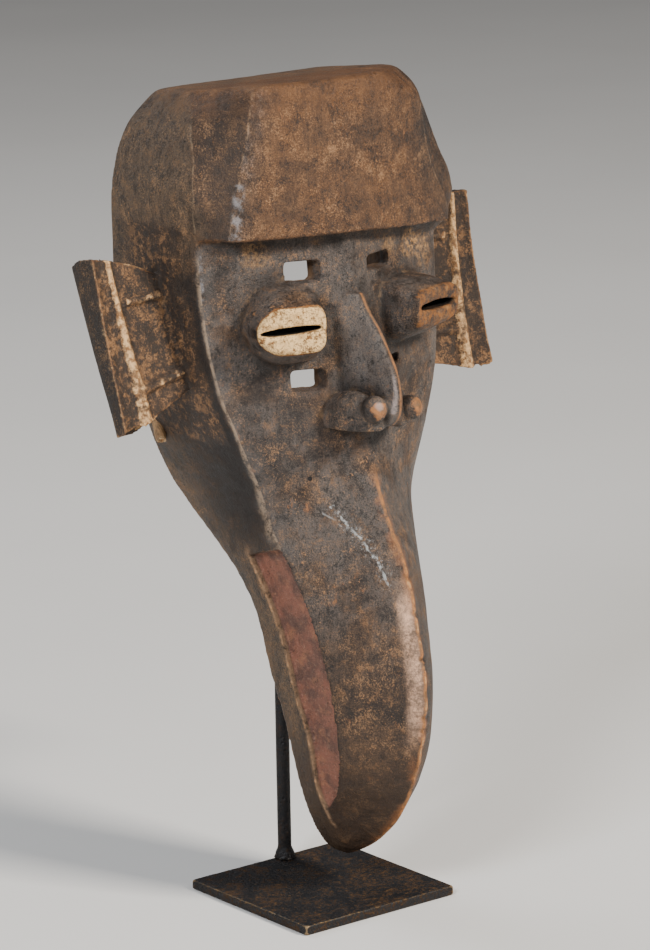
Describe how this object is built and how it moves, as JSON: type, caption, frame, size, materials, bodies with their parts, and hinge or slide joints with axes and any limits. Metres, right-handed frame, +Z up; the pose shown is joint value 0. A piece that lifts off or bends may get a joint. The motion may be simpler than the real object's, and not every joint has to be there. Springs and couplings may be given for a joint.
{
  "type": "dan beaked mask",
  "caption": "Carved wooden bird-beaked face mask with board ears, slit eyes and a long curved beak, held on an iron rod and square plate.",
  "frame": {"origin": "centre of the base plate's underside", "axes": "+Z up, the mask looks along -Y, and +X is the mask's own left"},
  "size_m": [0.224, 0.1386, 0.3978],
  "materials": {
    "patinated_wood": "dark oiled patina, worn to orange-brown on the ridges",
    "pale_wood": "dull, broken end",
    "blackened_iron": "blackened, satin",
    "plate_iron": "blackened with brown mottling, worn edges"
  },
  "bodies": {
    "root": {"mask": "patinated_wood", "rim_peg": "pale_wood", "stand_rod": "blackened_iron", "base_plate": "plate_iron"}
  },
  "joints": []
}
